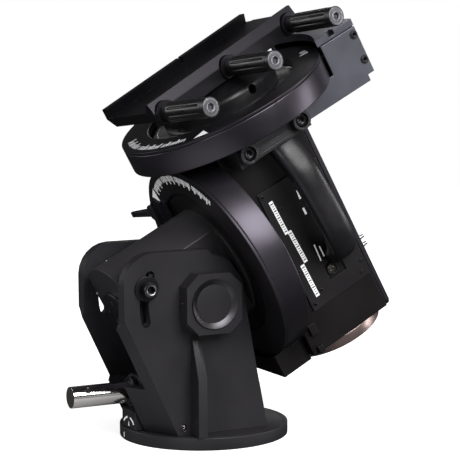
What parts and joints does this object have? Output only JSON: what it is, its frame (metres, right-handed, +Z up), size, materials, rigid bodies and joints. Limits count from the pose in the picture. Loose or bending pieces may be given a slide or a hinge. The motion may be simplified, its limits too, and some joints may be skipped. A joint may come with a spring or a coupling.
{
  "type": "equatorial mount",
  "caption": "Centre-balanced equatorial telescope mount with fork base, tilting polar housing, Dec housing with carry handle and dovetail saddle with clamp knobs.",
  "frame": {"origin": "centre of the base disc's underside", "axes": "+Z up; +X towards the raised end of the polar (RA) axis; -Y towards the side with the carry handle and ports"},
  "size_m": [0.4638, 0.3244, 0.5813],
  "materials": {
    "black_casting": "black textured paint",
    "black_anodised": "satin black anodised",
    "black_screws": "black oxide",
    "slate_cover": "satin slate grey anodised",
    "gloss_black": "polished black",
    "cap_grey": "satin grey",
    "chrome": "polished",
    "steel": "machined",
    "wheel_metal": "machined",
    "end_bronze": "brushed, warm grey",
    "board_green": "circuit board"
  },
  "bodies": {
    "base": {"base_disc": "black_casting", "azimuth_stud": "steel", "azimuth_peg": "steel"},
    "fork": {"fork_near": "black_casting", "fork_far": "black_casting", "fork_floor": "black_casting", "worm_block": "black_casting", "worm_shaft_flange": "black_anodised"},
    "azimuth_screw_near": {"azimuth_screw_near": "chrome"},
    "azimuth_screw_far": {"azimuth_screw_far": "chrome"},
    "latitude_drive": {"latitude_shaft": "chrome", "latitude_worm": "wheel_metal"},
    "neck": {"neck_drum": "black_casting", "neck_end_cap": "black_anodised", "ra_bearing_front": "steel", "ra_bearing_rear": "steel", "latitude_sector": "wheel_metal", "ra_worm_wheel": "wheel_metal", "latitude_pin_near": "steel", "latitude_pin_far": "steel"},
    "lock_near": {"latitude_lock_near": "black_screws", "lock_washer_near": "black_screws"},
    "lock_far": {"latitude_lock_far": "black_screws", "lock_washer_far": "black_screws"},
    "head": {"ra_cup": "black_anodised", "ra_face_ring": "black_anodised", "ra_box": "black_casting", "ra_motor": "steel", "ra_shaft": "steel", "dec_cup": "black_anodised", "dec_face_ring": "black_anodised", "dec_box": "slate_cover", "dec_box_lid": "slate_cover", "dec_motor": "steel", "dec_body": "black_casting", "north_cover": "black_anodised", "end_plate": "end_bronze", "dec_bearing_low": "steel", "dec_bearing_high": "steel", "circuit_board": "board_green", "handle_bracket": "black_anodised", "bracket_screw_left": "steel", "bracket_screw_right": "steel", "handle": "gloss_black", "port_panel": "black_anodised"},
    "ra_worm": {"ra_worm": "steel"},
    "dec_worm": {"dec_worm": "steel"},
    "ra_gear_switch": {"ra_gear_switch": "black_anodised"},
    "dec_gear_switch": {"dec_gear_switch": "black_anodised"},
    "saddle": {"dec_shaft": "steel", "dec_worm_wheel": "wheel_metal", "saddle_hub": "black_anodised", "saddle_plate": "black_anodised"},
    "jaw": {"saddle_jaw": "black_anodised"},
    "knob_left": {"clamp_knob_left": "gloss_black", "knob_cap_left": "cap_grey"},
    "knob_middle": {"clamp_knob_middle": "gloss_black", "knob_cap_middle": "cap_grey"},
    "knob_right": {"clamp_knob_right": "gloss_black", "knob_cap_right": "cap_grey"}
  },
  "joints": [
    {"name": "azimuth_turn", "type": "hinge", "parent": "base", "child": "fork", "pos_m": [0, 0, 0.017], "axis": [0, 0, 1], "range_deg": [-5, 5]},
    {"name": "azimuth_screw_near_slide", "type": "slide", "parent": "fork", "child": "azimuth_screw_near", "axis": [0, 1, 0], "range_m": [-0.006, 0.006]},
    {"name": "azimuth_screw_far_slide", "type": "slide", "parent": "fork", "child": "azimuth_screw_far", "axis": [0, 1, 0], "range_m": [-0.006, 0.006]},
    {"name": "latitude_tilt", "type": "hinge", "parent": "fork", "child": "neck", "pos_m": [-0.032, 0, 0.193], "axis": [0, -1, 0], "range_deg": [-10, 28]},
    {"name": "latitude_worm_turn", "type": "hinge", "parent": "fork", "child": "latitude_drive", "pos_m": [-0.1, 0, 0.067], "axis": [-1, 0, 0], "range_deg": [-1410, 3930]},
    {"name": "latitude_lock_near_turn", "type": "hinge", "parent": "neck", "child": "lock_near", "pos_m": [-0.11893, 0, 0.21629], "axis": [0, -1, 0], "range_deg": [0, 720]},
    {"name": "latitude_lock_far_turn", "type": "hinge", "parent": "neck", "child": "lock_far", "pos_m": [-0.11893, 0, 0.21629], "axis": [0, 1, 0], "range_deg": [0, 720]},
    {"name": "ra_turn", "type": "hinge", "parent": "neck", "child": "head", "pos_m": [0.12, 0, 0.2855], "axis": [0.8813, 0, 0.4726], "range_deg": [-90, 90]},
    {"name": "ra_worm_turn", "type": "hinge", "parent": "head", "child": "ra_worm", "pos_m": [0.0859, 0, 0.13537], "axis": [0, 1, 0], "range_deg": [-25930, 25930]},
    {"name": "dec_turn", "type": "hinge", "parent": "head", "child": "saddle", "pos_m": [0.02832, 0, 0.45647], "axis": [-0.4726, 0, 0.8813], "range_deg": [-180, 180]},
    {"name": "dec_worm_turn", "type": "hinge", "parent": "head", "child": "dec_worm", "pos_m": [0.139, 0, 0.49596], "axis": [0, 1, 0], "range_deg": [-51850, 51850]},
    {"name": "jaw_slide", "type": "slide", "parent": "saddle", "child": "jaw", "axis": [0.1832, -0.9781, 0.0982], "range_m": [0, 0.006]},
    {"name": "knob_left_turn", "type": "hinge", "parent": "jaw", "child": "knob_left", "pos_m": [-0.0786, -0.12318, 0.44736], "axis": [0.1832, -0.9781, 0.0982], "range_deg": [0, 1441]},
    {"name": "knob_middle_turn", "type": "hinge", "parent": "jaw", "child": "knob_middle", "pos_m": [0.02656, -0.09781, 0.50375], "axis": [0.1832, -0.9781, 0.0982], "range_deg": [0, 1441]},
    {"name": "knob_right_turn", "type": "hinge", "parent": "jaw", "child": "knob_right", "pos_m": [0.13173, -0.07245, 0.56015], "axis": [0.1832, -0.9781, 0.0982], "range_deg": [0, 1441]},
    {"name": "ra_gear_switch_turn", "type": "hinge", "parent": "head", "child": "ra_gear_switch", "pos_m": [-0.02309, 0.097, 0.29842], "axis": [0.8813, 0, 0.4726], "range_deg": [0, 90]},
    {"name": "dec_gear_switch_turn", "type": "hinge", "parent": "head", "child": "dec_gear_switch", "pos_m": [0.07837, 0.11, 0.49011], "axis": [-0.4726, 0, 0.8813], "range_deg": [0, 90]}
  ],
  "couplings": [
    {"joint": "azimuth_screw_near_slide", "follows": "azimuth_turn", "m_per_rad": 0.067},
    {"joint": "azimuth_screw_far_slide", "follows": "azimuth_turn", "m_per_rad": 0.067},
    {"joint": "latitude_worm_turn", "follows": "latitude_tilt", "ratio": 140},
    {"joint": "ra_worm_turn", "follows": "ra_turn", "ratio": 288},
    {"joint": "dec_worm_turn", "follows": "dec_turn", "ratio": -288},
    {"joint": "knob_left_turn", "follows": "jaw_slide", "rad_per_m": 4188.8},
    {"joint": "knob_middle_turn", "follows": "jaw_slide", "rad_per_m": 4188.8},
    {"joint": "knob_right_turn", "follows": "jaw_slide", "rad_per_m": 4188.8}
  ]
}
